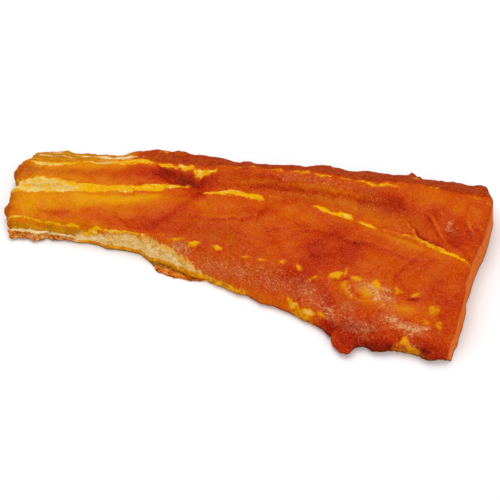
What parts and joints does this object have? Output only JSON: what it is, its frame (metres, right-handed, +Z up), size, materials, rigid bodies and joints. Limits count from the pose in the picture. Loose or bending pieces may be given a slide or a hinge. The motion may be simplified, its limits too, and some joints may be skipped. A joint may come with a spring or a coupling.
{
  "type": "smoked fish fillet",
  "caption": "Tail-end piece of a cold-smoked fish fillet on its skin, flesh side up, with fat seams, a ragged belly edge and one square knife cut.",
  "frame": {"origin": "under the middle of the fillet, on the flat of the skin that it rests on", "axes": "+X along the fish from the tail cut to the wide cut, +Y from the belly edge to the back edge, +Z up out of the flesh side"},
  "size_m": [0.2827, 0.1415, 0.0234],
  "materials": {
    "flesh": null,
    "skin": null
  },
  "bodies": {
    "root": {"fillet": "flesh"}
  },
  "joints": []
}
